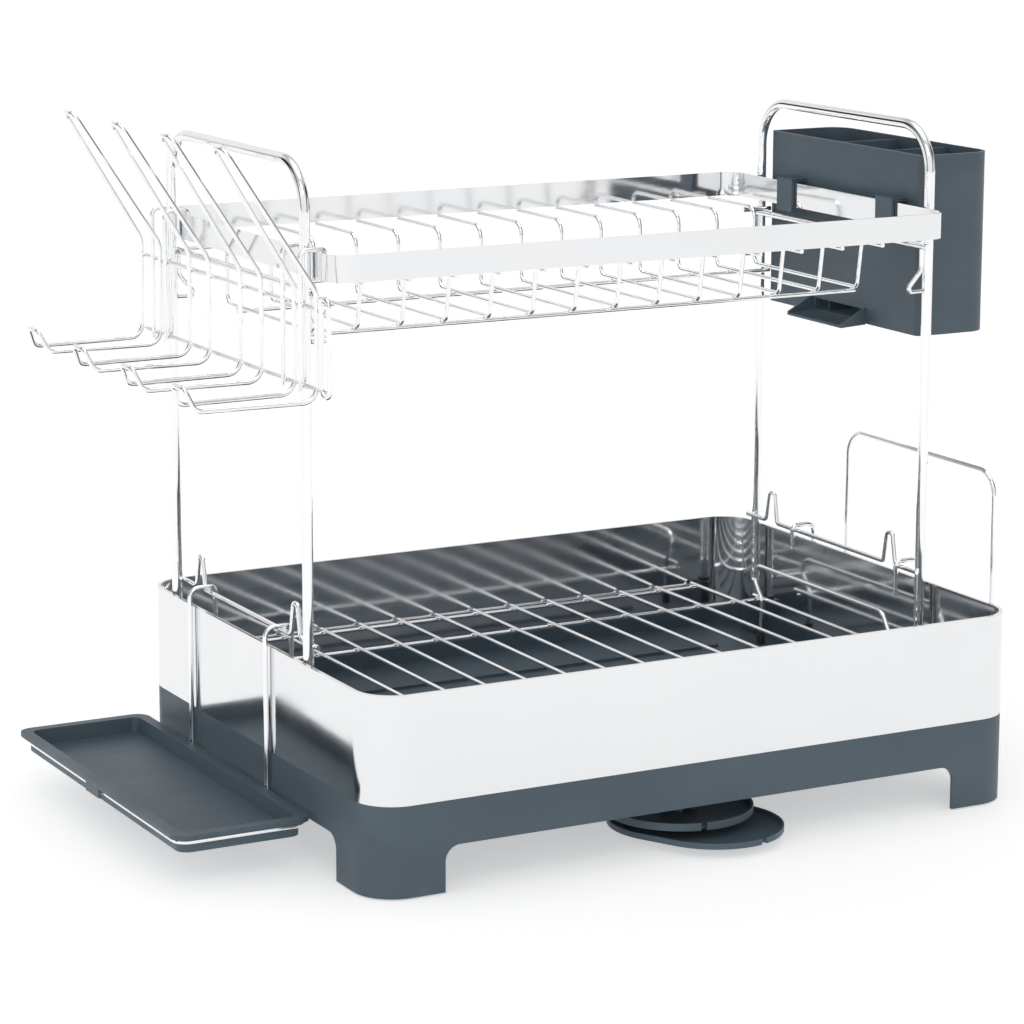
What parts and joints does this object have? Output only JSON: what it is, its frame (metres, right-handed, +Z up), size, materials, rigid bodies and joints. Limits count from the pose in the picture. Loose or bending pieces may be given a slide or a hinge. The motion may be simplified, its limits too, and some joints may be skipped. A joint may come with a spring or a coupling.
{
  "type": "two-tier dish drying rack",
  "caption": "Free-standing dish drying rack with a draining basin, wire rack, raised basket, hanging glass holder, cutlery caddy, side tray and board holder.",
  "frame": {"origin": "middle of the overall footprint on the worktop", "axes": "+X along the front towards the cutlery caddy, +Y to the back, +Z up"},
  "size_m": [0.571, 0.341, 0.4124],
  "materials": {
    "band_steel": "polished sheet",
    "tube_steel": "bright polished tube",
    "bright_wire": "bright plated wire",
    "slate_plastic": "fine satin",
    "strainer_plastic": "satin",
    "dark_rubber": "matt"
  },
  "bodies": {
    "base": {"drip_tray": "slate_plastic", "foot_pads": "dark_rubber", "lower_band": "band_steel", "drain_tube": "slate_plastic", "drain_strainer": "strainer_plastic", "drain_seal": "dark_rubber", "drain_sleeve": "slate_plastic", "drain_nut": "slate_plastic", "tube_arch_left": "tube_steel", "leg_plugs_left": "dark_rubber", "cross_bar_left": "bright_wire", "side_rail_left": "bright_wire", "spur_back_left": "bright_wire", "spur_front_left": "bright_wire", "tube_arch_right": "tube_steel", "leg_plugs_right": "dark_rubber", "cross_bar_right": "bright_wire", "side_rail_right": "bright_wire", "spur_back_right": "bright_wire", "spur_front_right": "bright_wire"},
    "spout_cup": {"spout_cup": "slate_plastic"},
    "spout_tongue": {"spout_tongue": "slate_plastic"},
    "lower_rack": {"rack_cross_wires": "bright_wire", "rack_rail_back": "bright_wire", "rack_rail_mid_back": "bright_wire", "rack_rail_mid_front": "bright_wire", "rack_rail_front": "bright_wire", "rack_border_left": "bright_wire", "rack_end_arch_left": "bright_wire", "rack_caps_left": "dark_rubber", "rack_border_right": "bright_wire", "rack_end_arch_right": "bright_wire", "rack_caps_right": "dark_rubber"},
    "upper_tier": {"upper_band": "band_steel", "basket_cross_wires": "bright_wire", "basket_rail_back": "bright_wire", "basket_rail_front": "bright_wire", "tier_rests_left": "bright_wire", "tier_rests_right": "bright_wire"},
    "glass_holder": {"glass_loop_1": "bright_wire", "glass_loop_2": "bright_wire", "glass_loop_3": "bright_wire", "glass_loop_4": "bright_wire", "glass_rail_top": "bright_wire", "glass_rail_bottom": "bright_wire", "glass_end_loop": "bright_wire", "glass_hook_back": "bright_wire", "glass_hook_front": "bright_wire"},
    "caddy": {"caddy_body": "slate_plastic", "caddy_spout": "slate_plastic"},
    "side_tray_frame": {"side_tray_wire": "bright_wire", "side_hook_back": "bright_wire", "side_hook_front": "bright_wire"},
    "side_tray": {"side_tray": "slate_plastic"},
    "board_holder": {"board_arch": "bright_wire", "board_bar_inner": "bright_wire", "board_bar_outer": "bright_wire", "board_hook_back": "bright_wire", "board_hook_front": "bright_wire"}
  },
  "joints": [
    {"name": "spout_cup_turn", "type": "hinge", "parent": "base", "child": "spout_cup", "pos_m": [0.022, -0.10851, 0.0155], "axis": [0, 0, 1], "continuous": true},
    {"name": "spout_tongue_turn", "type": "hinge", "parent": "base", "child": "spout_tongue", "pos_m": [0.022, -0.10851, 0.0074], "axis": [0, 0, 1], "range_deg": [-118, 61]},
    {"name": "lower_rack_lift", "type": "slide", "parent": "base", "child": "lower_rack", "axis": [0, 0, 1], "range_m": [0, 0.12]},
    {"name": "upper_tier_lift", "type": "slide", "parent": "base", "child": "upper_tier", "axis": [0, 0, 1], "range_m": [0, 0.014]},
    {"name": "glass_holder_lift", "type": "slide", "parent": "upper_tier", "child": "glass_holder", "axis": [0, 0, 1], "range_m": [0, 0.016]},
    {"name": "caddy_lift", "type": "slide", "parent": "upper_tier", "child": "caddy", "axis": [0, 0, 1], "range_m": [0, 0.022]},
    {"name": "side_tray_frame_lift", "type": "slide", "parent": "base", "child": "side_tray_frame", "axis": [0, 0, 1], "range_m": [0, 0.025]},
    {"name": "side_tray_lift", "type": "slide", "parent": "side_tray_frame", "child": "side_tray", "axis": [0, 0, 1], "range_m": [0, 0.04]},
    {"name": "board_holder_lift", "type": "slide", "parent": "base", "child": "board_holder", "axis": [0, 0, 1], "range_m": [0, 0.025]}
  ]
}
